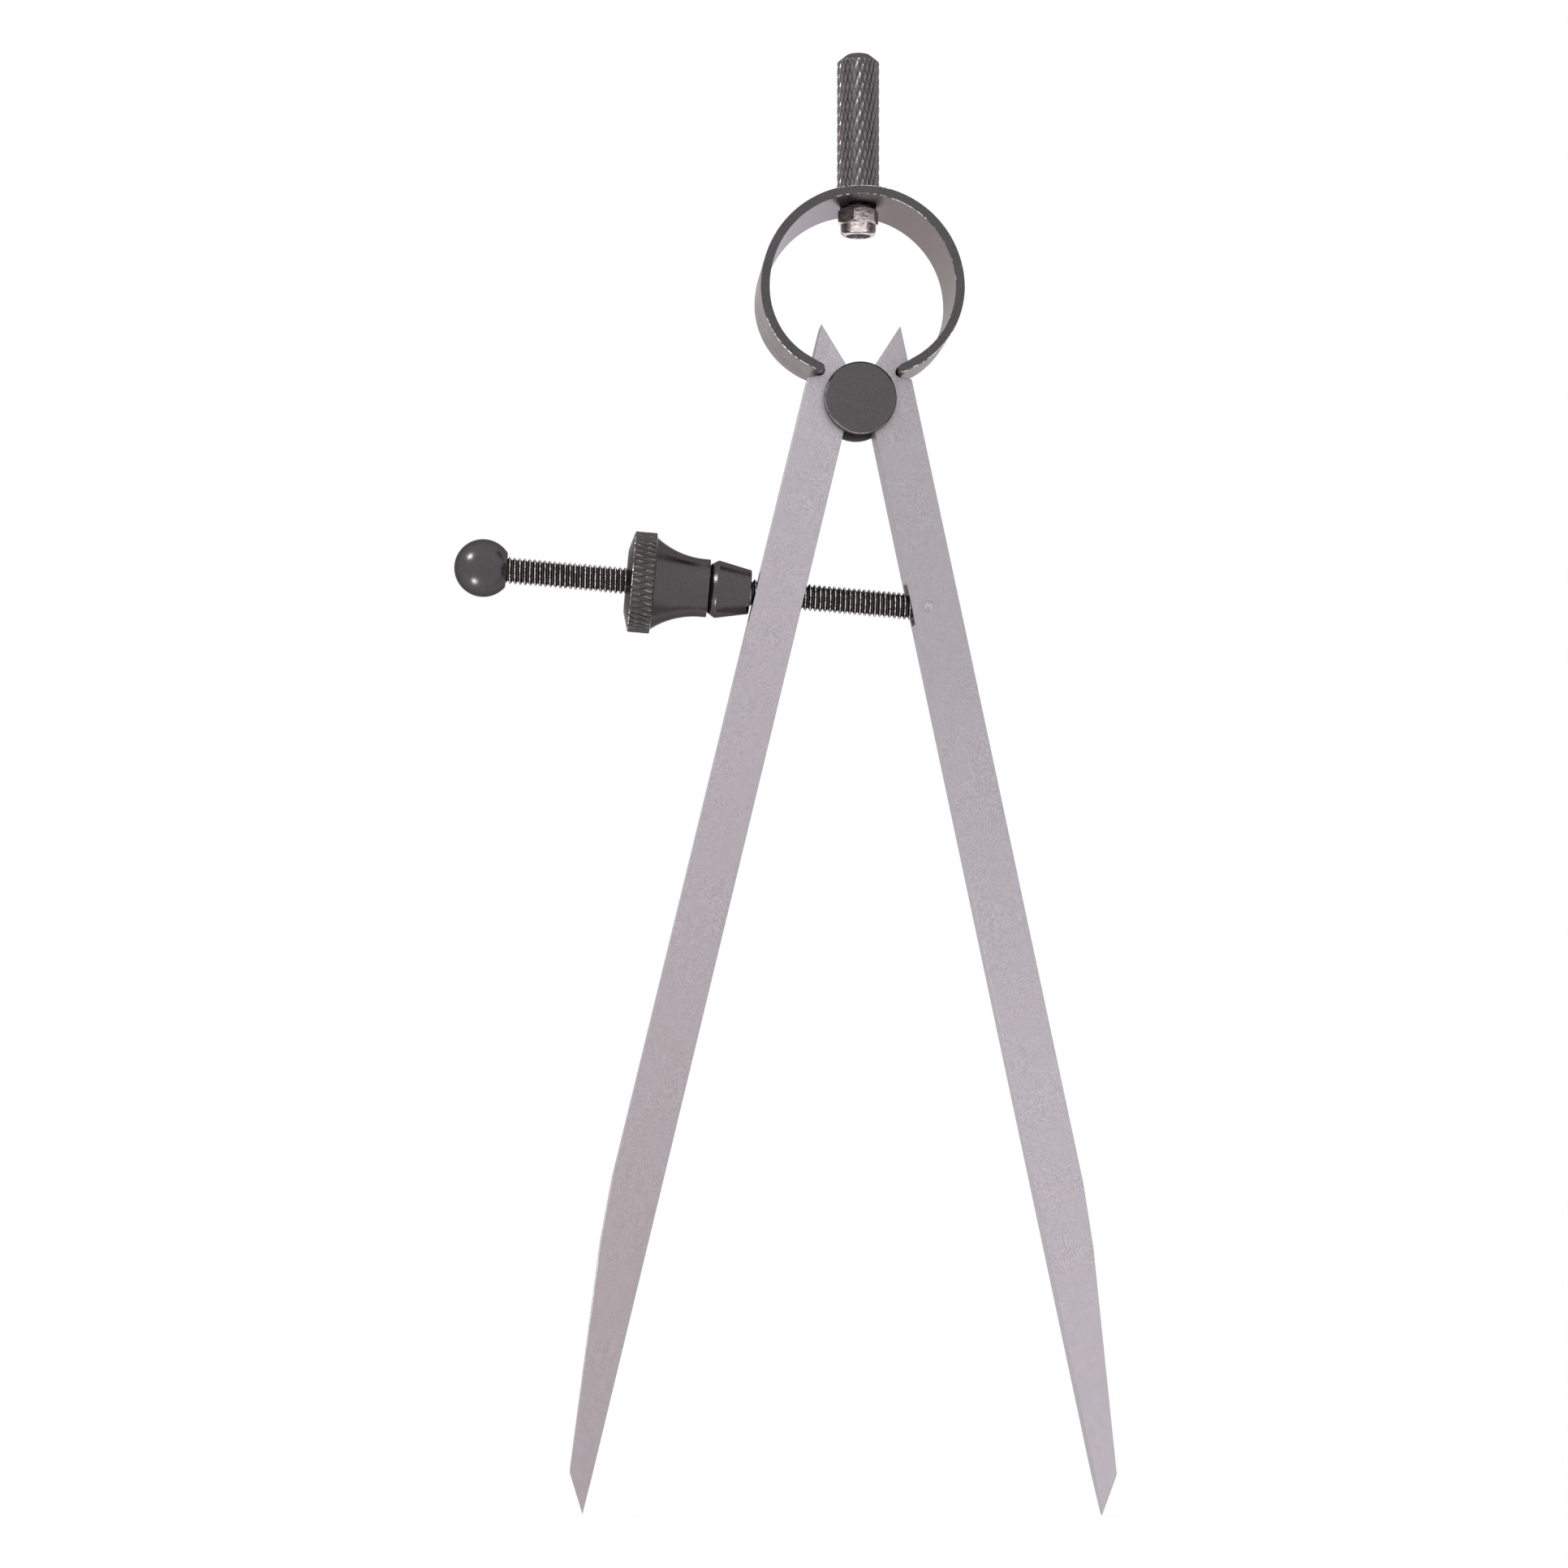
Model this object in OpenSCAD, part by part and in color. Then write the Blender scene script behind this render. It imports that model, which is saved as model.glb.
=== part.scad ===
// Spring divider: two flat pointed legs held on a grooved fulcrum by a bow spring,
// set with a nut on a cross screw. All sizes in millimetres, angles in degrees.
// X runs across the tool, Z up along the handle, the front faces -Y.
// The origin lies on the handle's axis, halfway along its straight grip.

/* [Legs] */
// from the fulcrum axis to each point
leg_length = 150; // [110:1:200]
// from the fulcrum axis to the inner edge of a leg
leg_inner = 1.05; // [0.8:0.05:1.4]
// from the inner to the outer edge, at the top of a leg
leg_top_w = 6.2; // [5.8:0.1:7]
// from the inner to the outer edge, where the taper to the point begins
leg_low_w = 6.5; // [6:0.1:7.4]
// height of the horn above the fulcrum axis
horn_h = 8.4; // [7.5:0.1:9.5]
// angle between a leg and the slanting cut across its top
horn_cut = 45; // [42:1:50]
// length of the taper, up from the point
taper_l = 38.9; // [25:0.1:50]
// half the length over which the outer edge turns into the taper
taper_soft = 4.2; // [1:0.1:8]
// length of the ground tip
tip_l = 5; // [3:0.1:8]
// width of a leg where the ground tip begins
tip_w = 2.9; // [2:0.1:4]
// thickness of a leg at the fulcrum and the screw
leg_t = 5.5; // [5.2:0.1:7]
// thickness where the ground tip begins
low_t = 3.4; // [2.4:0.1:4.4]
// thickness at the point
point_t = 1.2; // [0.6:0.1:2]
// swing of the left leg from the handle's line
left_angle = 13.45; // [12:0.05:15]
// swing of the right leg from the handle's line
right_angle = 11.95; // [11:0.05:14]

/* [Fulcrum] */
// diameter of the core that the legs turn on
core_d = 7.6; // [7.2:0.1:8.2]
// how far each end disc stands out past the core
disc_step = 0.95; // [0.6:0.05:1.5]
// thickness of each end disc
disc_t = 1.4; // [1:0.1:3]
// chamfer round the face of each disc
disc_chamfer = 0.25; // [0.1:0.05:0.5]
// play between a leg's round seat and the core
seat_play = 0.05; // [0.02:0.01:0.1]
// play between a leg's face and a disc
face_play = 0.15; // [0.1:0.05:0.3]

/* [Bow] */
// outer radius of the bow
bow_r = 13.35; // [12.6:0.05:14]
// thickness of the strip
bow_t = 1.16; // [0.9:0.02:1.2]
// width of the strip, from its crown to its sides
bow_w = 14.9; // [12:0.1:18]
// width of the strip at the ends of its arms
bow_end_w = 11.1; // [9:0.1:12]
// from the fulcrum axis up to the bottom of the bow's circle
bow_low = 0.66; // [0.4:0.01:1]
// how much smaller the radius of the two lower arms is
arm_tuck = 2.1; // [1.8:0.05:2.4]
// how far each arm bends round below the bow's centre line
arm_bend = 62.5; // [61:0.5:63.5]
// length of the straight tongue at the end of an arm, in its leg's notch
tongue_l = 1.85; // [1.75:0.05:2.1]
// how much thinner than the strip a tongue is, on each face
tongue_thin = 0.04; // [0.03:0.01:0.1]
// play round a tongue in the bottom of its notch
notch_play = 0.15; // [0.12:0.01:0.3]
// slope of the notch's walls to each side
notch_flare = 22; // [20:1:28]

/* [Handle] */
// diameter of the grip
grip_d = 5.6; // [4.8:0.1:7]
// length of the grip
grip_l = 19; // [12:0.5:30]
// height of the cone at the top of the grip
grip_cone = 1.07; // [0.5:0.01:2]
// diameter of the flat top of the grip
grip_top_d = 3; // [2:0.1:4]
// diameter of the tang below the grip
tang_d = 2.5; // [2:0.1:3]

/* [Lock nut] */
// from the hex up to the bow, on the axis; the flat seat washer fills it at its rim
seat_h = 0.6; // [0.4:0.05:2]
// how much wider than the tang the seat washer is, each side
seat_rim = 1.15; // [0.9:0.05:1.6]
// wall of the hex from the tang to a flat
hex_wall = 1.2; // [1:0.05:1.6]
// height of the hex
hex_h = 2; // [1.4:0.1:3]
// how far the hex is turned about the handle's axis
hex_turn = 14; // [-30:1:30]
// corner chamfer of the hex
hex_chamfer = 0.3; // [0.1:0.05:0.4]
// height of the round collar under the hex
collar_h = 1.5; // [1.4:0.1:3]
// how far the collar lies inside the flats
collar_in = 0.1; // [0.05:0.05:0.3]
// rounding of the collar's edge
collar_round = 0.6; // [0.4:0.05:0.7]
// height of the lip that holds the insert in
collar_lip = 0.4; // [0.3:0.05:0.7]
// how far the lip closes over the insert
lip_in = 0.25; // [0.15:0.05:0.3]
// height of the locking insert
insert_h = 1.2; // [0.8:0.05:1.4]
// wall of the locking insert
insert_wall = 0.6; // [0.4:0.05:0.7]
// play of the tang in the bow, washer, nut and insert
tang_play = 0.04; // [0.02:0.01:0.1]
// how far the tang's end lies above the collar's end
tang_short = 0.3; // [0.1:0.05:0.4]

/* [Screw] */
// diameter over the thread
screw_d = 3.6; // [3:0.1:3.7]
// length from the swivel pin to the middle of the ball
screw_l = 58.6; // [57.5:0.1:64]
// rise of the screw towards its ball, at rest
screw_tilt = 4.75; // [3.5:0.25:6]
// from the fulcrum down the right leg to the swivel pin
pin_down = 28.6; // [27:0.1:29.5]
// from the right leg's inner edge to the swivel pin
pin_in = 2.15; // [2:0.05:2.6]
// diameter of the swivel pin
pin_d = 1.45; // [1.2:0.05:1.8]
// play of the screw's eye on the pin
pin_play = 0.05; // [0.02:0.01:0.1]
// play of the screw in the legs' slots
slot_play = 0.3; // [0.25:0.05:0.4]
// diameter of the ball
ball_d = 7.6; // [6.8:0.02:8.4]
// from the middle of the ball to its flat
ball_flat = 3.05; // [2.6:0.05:3.3]
// depth of the screw in the ball, from the flat
ball_bore = 4; // [2.5:0.1:5]

/* [Nut and washer] */
// gap between the washer and the left leg, at rest
washer_gap = 0.24; // [0.2:0.02:0.4]
// length of the cone washer
washer_l = 5.4; // [4.5:0.05:6]
// diameter of the washer where it meets the leg
washer_foot_d = 5.8; // [5.4:0.1:6]
// largest diameter of the washer
washer_d = 7.64; // [7:0.02:8]
// diameter of the washer's face at the nut
washer_face_d = 6.4; // [5.6:0.1:6.6]
// length of the washer's chamfer at the nut
washer_lip = 1; // [0.5:0.05:1.5]
// play of the washer on the screw
washer_play = 0.1; // [0.05:0.01:0.2]
// gap between the washer and the nut
nut_gap = 0.1; // [0.05:0.05:0.2]
// play of the nut on the screw
nut_play = 0.05; // [0.02:0.01:0.1]
// diameter of the nut's neck
neck_d = 7.66; // [6.8:0.02:8]
// length of the nut's neck
neck_l = 7.2; // [6:0.05:8]
// straight end of the neck before its flare
neck_end = 0.7; // [0.4:0.05:1.2]
// radius of the neck's flare
flare_r = 10.6; // [10:0.1:14]
// diameter of the nut's rim
rim_d = 13.26; // [12.6:0.02:15]
// width of the nut's rim
rim_w = 3; // [2:0.05:4]
// diameter of the nut's flat face towards the ball
face_d = 8.15; // [6:0.01:9]
// height of the shallow cone from the rim to that face
face_h = 0.68; // [0.3:0.02:1]

/* [Travel] */
// swing of each leg from rest until the points meet
swing_close = 13; // [12:0.1:13]
// swing of each leg from rest until the nut nears the ball
swing_open = 15.8; // [12:0.1:15.8]
// how much the screw levels out for each degree that a leg opens
level_rate = 0.1; // [0.06:0.01:0.14]

/* [Hidden] */
$fa = 4;
$fs = 0.2;
// how far cutting shapes run past the faces that they cut
past = 1;
// play between faces of one body that only touch
touch = 0.01;

// handle and bow heights above the fulcrum axis
bow_up = bow_r + bow_low;
bow_mid_r = bow_r - bow_t / 2;
arm_r = bow_mid_r - arm_tuck;
arm_deep = (arm_r + bow_t / 2) * sin(arm_bend);
arm_rate = (bow_w - bow_end_w) / 2 / arm_deep;
crown = bow_up + bow_r;
under = crown - bow_t;
grip_mid = crown + (grip_l - grip_cone) / 2;
hex_top = under - seat_h;
nut_end = hex_top - hex_h - collar_h;
seat_r = tang_d / 2 + seat_rim;
bow_in_r = bow_r - bow_t;
seat_t = seat_h + sqrt(bow_in_r * bow_in_r - seat_r * seat_r) - bow_in_r - touch;
hex_af = tang_d + 2 * hex_wall;
collar_r = hex_af / 2 - collar_in;
hex_face_r = hex_af / 2 - collar_in / 2;
hex_corner = hex_af / 2 / cos(30) - hex_face_r + touch;
insert_r = tang_d / 2 + insert_wall;
tang_r = tang_d / 2 + tang_play;

// an arm's end, and the notch that takes it, in a leg halfway between the two swings
tongue_t = bow_t - 2 * tongue_thin;
tongue_root = bow_t / 2;
arm_end_x = arm_tuck + arm_r * cos(arm_bend) - tongue_l * sin(arm_bend);
arm_end_z = bow_up - arm_r * sin(arm_bend) - tongue_l * cos(arm_bend);
mean_angle = (left_angle + right_angle) / 2;
notch_u = arm_end_x * cos(mean_angle) + arm_end_z * sin(mean_angle);
notch_z = arm_end_z * cos(mean_angle) - arm_end_x * sin(mean_angle);
notch_r = tongue_t / 2 + notch_play;

// fulcrum
disc_r = core_d / 2 + disc_step;
disc_from = leg_t / 2 + face_play;

// leg outline: outward from the inner edge, and up from the fulcrum axis
leg_top_u = leg_inner + leg_top_w;
leg_low_u = leg_inner + leg_low_w;
point_z = -sqrt(leg_length * leg_length - leg_inner * leg_inner);
taper_z = point_z + taper_l;
tip_z = point_z + tip_l;
tip_u = leg_inner + tip_w;
edge_rate = (leg_top_u - leg_low_u) / (horn_h - taper_z);
taper_rate = (leg_low_u - tip_u) / (taper_z - tip_z);
thin_from = -pin_down - pin_in - screw_d;

// the screw seen from the right leg, and from the mirrored left leg
pin_u = leg_inner + pin_in;
slot_r = screw_d / 2 + slot_play;
eye_turn = 180 - screw_tilt - right_angle;
eye_close = eye_turn + (1 - level_rate) * swing_close;
eye_open = eye_turn - (1 - level_rate) * swing_open;
function pin_x(d) = pin_u * cos(right_angle + d) + pin_down * sin(right_angle + d);
function pin_z(d) = pin_u * sin(right_angle + d) - pin_down * cos(right_angle + d);
function lean(d) = left_angle + d - screw_tilt + level_rate * d;
function pin_out(d) = pin_z(d) * sin(left_angle + d) - pin_x(d) * cos(left_angle + d);
function pin_up(d) = pin_z(d) * cos(left_angle + d) + pin_x(d) * sin(left_angle + d);
function axis_up(u, d) = pin_up(d) - (u - pin_out(d)) * tan(lean(d));
function slot_up(u, d) = axis_up(u, d) + slot_r / cos(lean(d));
function slot_down(u, d) = axis_up(u, d) - slot_r / cos(lean(d));
slot_in = leg_inner - past;
slot_out = leg_low_u + past;
swings = [-swing_close, 0, swing_open];

// stations along the screw, from the swivel pin towards the ball
hole_u = leg_top_u + edge_rate * (axis_up(leg_top_u, 0) - horn_h);
leg_face = (hole_u - pin_out(0)) / cos(lean(0));
washer_at = leg_face + washer_foot_d / 2 * tan(lean(0)) + washer_gap;
nut_at = washer_at + washer_l + nut_gap;
rim_at = nut_at + neck_l;
screw_end = screw_l - ball_flat + ball_bore;

// a flat shape drawn in X and Z, given its width along Y
module plate(w) {
    rotate([90, 0, 0]) linear_extrude(height = w, center = true) children();
}

// a shape drawn from the fulcrum, moved to the handle's origin
module from_fulcrum() {
    translate([0, 0, -grip_mid]) children();
}

// a shape drawn along Z from the swivel pin, laid along the screw
module along_screw() {
    from_fulcrum() translate([pin_x(0), 0, pin_z(0)]) rotate([0, screw_tilt - 90, 0]) children();
}

module arm(side) {
    mirror([side, 0]) translate([arm_tuck, bow_up]) intersection() {
        difference() {
            circle(r = arm_r + bow_t / 2);
            circle(r = arm_r - bow_t / 2);
        }
        polygon([[0, 0], [2 * bow_r, 0], [2 * bow_r, -2 * bow_r * tan(arm_bend)]]);
    }
}

module tongue(side) {
    mirror([side, 0]) translate([arm_tuck, bow_up]) rotate(-arm_bend) translate([arm_r, -tongue_l]) {
        translate([-tongue_t / 2, 0]) square([tongue_t, tongue_l + tongue_root]);
        circle(d = tongue_t);
    }
}

// the strip's edges seen from the side: parallel above, drawn in towards the arms' ends
module bow_taper() {
    rotate([90, 0, 90]) linear_extrude(height = 4 * bow_r, center = true) polygon([
        [-bow_w / 2, crown + past], [-bow_w / 2, bow_up],
        [past * arm_rate - bow_end_w / 2, bow_up - arm_deep - past],
        [bow_end_w / 2 - past * arm_rate, bow_up - arm_deep - past],
        [bow_w / 2, bow_up], [bow_w / 2, crown + past]]);
}

module bow_spring() {
    color([0.33, 0.32, 0.32]) from_fulcrum() difference() {
        intersection() {
            plate(bow_w) {
                intersection() {
                    translate([0, bow_up]) difference() {
                        circle(r = bow_r);
                        circle(r = bow_r - bow_t);
                    }
                    translate([-2 * bow_r, bow_up]) square([4 * bow_r, 2 * bow_r]);
                }
                for (side = [0, 1]) {
                    arm(side);
                    tongue(side);
                }
            }
            bow_taper();
        }
        translate([0, 0, under - past]) cylinder(r = tang_r, h = bow_t + 2 * past);
    }
}

module handle() {
    color([0.36, 0.35, 0.35]) from_fulcrum() rotate_extrude() polygon([
        [0, nut_end + tang_short], [tang_d / 2, nut_end + tang_short], [tang_d / 2, crown],
        [grip_d / 2, crown], [grip_d / 2, crown + grip_l - grip_cone],
        [grip_top_d / 2, crown + grip_l], [0, crown + grip_l]]);
}

module seat_washer() {
    color([0.22, 0.21, 0.21]) from_fulcrum() translate([0, 0, hex_top]) difference() {
        cylinder(r = seat_r, h = seat_t);
        translate([0, 0, -past]) cylinder(r = tang_r, h = seat_t + 2 * past);
    }
}

module hex_blank() {
    rotate(hex_turn) linear_extrude(height = hex_h) circle(d = hex_af / cos(30), $fn = 6);
}

module lock_nut() {
    color([0.78, 0.77, 0.75]) from_fulcrum() difference() {
        union() {
            translate([0, 0, nut_end + collar_h]) intersection() {
                hex_blank();
                rotate_extrude() polygon([
                    [0, 0], [hex_face_r, 0], [hex_face_r + hex_corner, hex_chamfer],
                    [hex_face_r + hex_corner, hex_h - hex_chamfer], [hex_face_r, hex_h], [0, hex_h]]);
            }
            translate([0, 0, nut_end]) rotate_extrude() {
                difference() {
                    square([collar_r, collar_h + hex_h / 2]);
                    translate([collar_r - collar_round, 0]) difference() {
                        square(collar_round);
                        translate([0, collar_round]) circle(r = collar_round);
                    }
                }
            }
        }
        translate([0, 0, nut_end - past]) cylinder(r = insert_r - lip_in, h = collar_h + past);
        translate([0, 0, nut_end + collar_lip]) cylinder(r = insert_r + touch, h = insert_h);
        translate([0, 0, nut_end]) cylinder(r = tang_r, h = hex_h + collar_h + past);
    }
}

module locking_insert() {
    color([0.75, 0.74, 0.7]) from_fulcrum() translate([0, 0, nut_end + collar_lip]) difference() {
        cylinder(r = insert_r, h = insert_h - touch);
        translate([0, 0, -past]) cylinder(r = tang_r, h = insert_h + 2 * past);
    }
}

module fulcrum_spool() {
    color([0.35, 0.34, 0.34]) from_fulcrum() rotate([90, 0, 0]) rotate_extrude() polygon([
        [0, -disc_from - disc_t], [disc_r - disc_chamfer, -disc_from - disc_t],
        [disc_r, disc_chamfer - disc_from - disc_t], [disc_r, -disc_from], [core_d / 2, -disc_from],
        [core_d / 2, disc_from], [disc_r, disc_from], [disc_r, disc_from + disc_t - disc_chamfer],
        [disc_r - disc_chamfer, disc_from + disc_t], [0, disc_from + disc_t]]);
}

// a leg's outline, with its round seat and its notch for the bow
module leg_outline() {
    difference() {
        polygon([
            [leg_top_u, horn_h], [leg_inner, horn_h - leg_top_w / tan(horn_cut)],
            [leg_inner, point_z], [tip_u, tip_z],
            [leg_low_u - taper_rate * taper_soft, taper_z - taper_soft],
            [leg_low_u + edge_rate * taper_soft, taper_z + taper_soft]]);
        circle(r = core_d / 2 + seat_play);
        translate([notch_u, notch_z]) {
            circle(r = notch_r);
            polygon([
                [-notch_r * sin(notch_flare), notch_r * cos(notch_flare)],
                [-notch_r * sin(notch_flare), -notch_r * cos(notch_flare)],
                [leg_low_w, -notch_r / cos(notch_flare) - leg_low_w * tan(notch_flare)],
                [leg_low_w, notch_r / cos(notch_flare) + leg_low_w * tan(notch_flare)]]);
        }
    }
}

// a leg's blank, thinned towards its point
module leg_blank() {
    intersection() {
        plate(leg_t) leg_outline();
        rotate([90, 0, 90]) linear_extrude(height = leg_low_u + past) polygon([
            [-leg_t / 2, horn_h + past], [leg_t / 2, horn_h + past], [leg_t / 2, thin_from],
            [low_t / 2, tip_z], [point_t / 2, point_z - touch], [-point_t / 2, point_z - touch],
            [-low_t / 2, tip_z], [-leg_t / 2, thin_from]]);
    }
}

module left_leg() {
    color([0.69, 0.67, 0.68]) from_fulcrum() mirror([1, 0, 0]) rotate([0, -left_angle, 0]) difference() {
        leg_blank();
        plate(2 * slot_r) polygon([
            [slot_in, max([for (d = swings) slot_up(slot_in, d)])],
            [slot_in, min([for (d = swings) slot_down(slot_in, d)])],
            [slot_out, min([for (d = swings) slot_down(slot_out, d)])],
            [slot_out, max([for (d = swings) slot_up(slot_out, d)])]]);
    }
}

module right_leg() {
    color([0.7, 0.68, 0.69]) from_fulcrum() rotate([0, -right_angle, 0]) difference() {
        leg_blank();
        translate([pin_u, 0, -pin_down]) {
            plate(2 * slot_r) {
                circle(r = slot_r);
                for (a = [eye_close, eye_open])
                    rotate(a) translate([0, -slot_r]) square([pin_in + 2 * slot_r, 2 * slot_r]);
                polygon([
                    [0, 0], (pin_in + 2 * slot_r) * [cos(eye_close), sin(eye_close)],
                    (pin_in + 2 * slot_r) * [cos(eye_open), sin(eye_open)]]);
            }
            plate(leg_t + 2 * past) circle(d = pin_d + 2 * touch);
        }
    }
}

module swivel_pin() {
    color([0.74, 0.72, 0.72]) from_fulcrum() translate([pin_x(0), 0, pin_z(0)])
        rotate([90, 0, 0]) cylinder(d = pin_d, h = leg_t, center = true);
}

module adjusting_screw() {
    color([0.3, 0.3, 0.3]) along_screw() difference() {
        rotate_extrude() {
            square([screw_d / 2, screw_end]);
            intersection() {
                circle(d = screw_d);
                translate([0, -screw_d]) square([screw_d, 2 * screw_d]);
            }
        }
        rotate([90, 0, 0]) cylinder(d = pin_d + 2 * pin_play, h = screw_d + 2 * past, center = true);
    }
}

module ball_stop() {
    color([0.31, 0.3, 0.31]) along_screw() translate([0, 0, screw_l]) rotate_extrude() difference() {
        circle(d = ball_d);
        translate([-ball_d, -ball_d]) square([ball_d, 2 * ball_d]);
        translate([-ball_d, -ball_d - ball_flat]) square([2 * ball_d, ball_d]);
        translate([0, -ball_flat - past]) square([screw_d / 2 + touch, ball_bore + past + touch]);
    }
}

module thrust_washer() {
    color([0.33, 0.32, 0.33]) along_screw() translate([0, 0, washer_at]) rotate_extrude() polygon([
        [screw_d / 2 + washer_play, 0], [washer_foot_d / 2, 0], [washer_d / 2, washer_l - washer_lip],
        [washer_face_d / 2, washer_l], [screw_d / 2 + washer_play, washer_l]]);
}

module adjusting_nut() {
    color([0.34, 0.33, 0.33]) along_screw() translate([0, 0, nut_at]) rotate_extrude() {
        difference() {
            translate([screw_d / 2 + nut_play, 0])
                square([rim_d / 2 - screw_d / 2 - nut_play, neck_l]);
            translate([neck_d / 2 + flare_r, neck_end]) circle(r = flare_r);
            translate([neck_d / 2, -past]) square([rim_d, neck_end + past]);
        }
        polygon([
            [screw_d / 2 + nut_play, neck_l], [rim_d / 2, neck_l], [rim_d / 2, neck_l + rim_w],
            [face_d / 2, neck_l + rim_w + face_h], [screw_d / 2 + nut_play, neck_l + rim_w + face_h]]);
    }
}

bow_spring();
handle();
seat_washer();
lock_nut();
locking_insert();
fulcrum_spool();
left_leg();
right_leg();
swivel_pin();
adjusting_screw();
ball_stop();
thrust_washer();
adjusting_nut();
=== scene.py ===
"""Spring divider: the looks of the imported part, around its fixed frame.

Lengths are in millimetres until a mesh is finished, then in metres as in the frame. Shapes are
drawn from the fulcrum axis, as in the part's source, and lowered by GRIP_MID to the handle's
origin. X runs across the tool, Z up along the handle, and the photographed front faces -Y.
"""

import math

import bmesh
import bpy
from mathutils import Matrix, Vector


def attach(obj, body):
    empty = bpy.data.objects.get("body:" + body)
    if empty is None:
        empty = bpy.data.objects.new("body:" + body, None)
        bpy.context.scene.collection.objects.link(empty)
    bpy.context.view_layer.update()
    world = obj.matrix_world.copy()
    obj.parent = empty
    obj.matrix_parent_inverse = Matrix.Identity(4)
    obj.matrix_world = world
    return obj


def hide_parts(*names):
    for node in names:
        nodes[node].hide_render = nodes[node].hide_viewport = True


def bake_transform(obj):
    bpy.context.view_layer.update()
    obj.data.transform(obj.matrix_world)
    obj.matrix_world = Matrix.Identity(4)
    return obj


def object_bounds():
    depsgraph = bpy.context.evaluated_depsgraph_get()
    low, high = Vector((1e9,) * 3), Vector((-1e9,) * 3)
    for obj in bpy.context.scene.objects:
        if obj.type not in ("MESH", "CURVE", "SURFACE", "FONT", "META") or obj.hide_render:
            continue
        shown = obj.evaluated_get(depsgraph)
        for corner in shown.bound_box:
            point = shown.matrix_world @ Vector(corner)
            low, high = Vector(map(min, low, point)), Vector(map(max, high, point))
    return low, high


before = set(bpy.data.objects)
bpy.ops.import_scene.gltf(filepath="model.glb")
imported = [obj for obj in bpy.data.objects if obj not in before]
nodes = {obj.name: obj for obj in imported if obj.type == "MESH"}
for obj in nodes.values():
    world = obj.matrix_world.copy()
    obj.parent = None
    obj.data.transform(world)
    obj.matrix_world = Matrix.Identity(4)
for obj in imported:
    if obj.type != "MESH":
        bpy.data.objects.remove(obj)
cad_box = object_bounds()

MM = 0.001
TURN = 2 * math.pi
UP = (0, 0, 1)

# Bow, from the part's source
BOW_R = 13.35
BOW_T = 1.16
BOW_W = 14.9
BOW_END_W = 11.1
BOW_UP = 14.01
ARM_TUCK = 2.1
ARM_BEND = math.radians(62.5)
TONGUE_L = 1.85
TONGUE_T = 1.08
BOW_MID_R = BOW_R - BOW_T / 2
ARM_R = BOW_MID_R - ARM_TUCK
ARM_DEEP = (ARM_R + BOW_T / 2) * math.sin(ARM_BEND)
CROWN = BOW_UP + BOW_R

# Handle
GRIP_R = 2.8
GRIP_L = 19.0
GRIP_CONE = 1.07
GRIP_TOP_R = 1.5
TANG_R = 1.25
TANG_END = 22.4
GRIP_MID = CROWN + (GRIP_L - GRIP_CONE) / 2

# Fulcrum spool
CORE_R = 3.8
DISC_R = 4.75
DISC_FROM = 2.9
DISC_TO = 4.3
DISC_CHAMFER = 0.25

# Legs and swivel pin
LEFT_ANGLE = math.radians(13.45)
RIGHT_ANGLE = math.radians(11.95)
LEG_T = 5.5
PIN_X, PIN_Z = 9.0525, -27.3176
PIN_R = 0.725

# Screw and the pieces on it, by station from the swivel pin towards the ball
SCREW_R = 1.8
SCREW_TILT = math.radians(4.75)
SCREW_END = 59.55
EYE_END = 1.75
BALL_AT = 58.6
BALL_R = 3.8
BALL_FLAT = 3.05
BALL_BORE = 4.0
WASHER_AT = 23.445
WASHER_L = 5.4
WASHER_FOOT_R = 2.9
WASHER_R = 3.82
WASHER_FACE_R = 3.2
WASHER_LIP = 1.0
WASHER_BORE_R = SCREW_R + 0.1
NUT_AT = 28.945
NECK_R = 3.83
NECK_L = 7.2
NECK_END = 0.7
FLARE_R = 10.6
RIM_R = 6.63
RIM_W = 3.0
FACE_R = 4.075
FACE_H = 0.68
NUT_BORE_R = SCREW_R + 0.05

# Kinds of face, which are places in a piece's list of materials: on the bow, the thread and turned
# pieces, on knurled pieces, and on the lock nut beside plain ones
# the third kind is a rubbed edge on the bow and a painted highlight on the spool
PLAIN, WORN, RUBBED_AND_HIGHLIGHT, INSIDE, TONGUE = range(5)
# the knurls' groove kind carries painted shade
FLANK, TOP, TURNED, GROOVE, CORNER = range(5)
# the lock nut's faces of this kind carry painted shade
PAINTED_SHADE_FLAT = 1


# Places

def at_fulcrum(x, y, z):
    """A point given from the fulcrum in millimetres, in the frame's metres."""
    return Vector((x * MM, y * MM, (z - GRIP_MID) * MM))


def on_screw(x, y, z):
    """A point given across and along the screw, from the swivel pin, in the frame's metres."""
    s, c = math.sin(SCREW_TILT), math.cos(SCREW_TILT)
    return at_fulcrum(PIN_X + s * x - c * z, y, PIN_Z + c * x + s * z)


def on_spool(x, y, z):
    """A point given across and along the fulcrum axis, which points to the back."""
    return at_fulcrum(x, z, -y)


def on_pin(x, y, z):
    """A point given across and along the swivel pin, which points to the back."""
    return at_fulcrum(PIN_X + x, z, PIN_Z - y)


# Meshes

# tolerances while a mesh is in millimetres, and in metres
WELD_MM, CUT_MM, ON_CUT_MM, AXIS_MM = 1e-4, 1e-6, 1e-5, 1e-6
WELD_M, CUT_M = 1e-6, 1e-7

# steps of a rounded corner, and the most of a stretch that its rounding takes up
ROUND_STEPS = 3
ROUND_MOST = 0.45

# copies of CAD solids: angles at which faces are one and from which edges are eased, in radians,
# the steps of a bevel, and the angle in degrees up to which they are shaded smooth
CAD_FLAT = math.radians(0.4)
CAD_EASED = math.radians(25)
CAD_STEPS = 3
CAD_SHARP = 50


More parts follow.
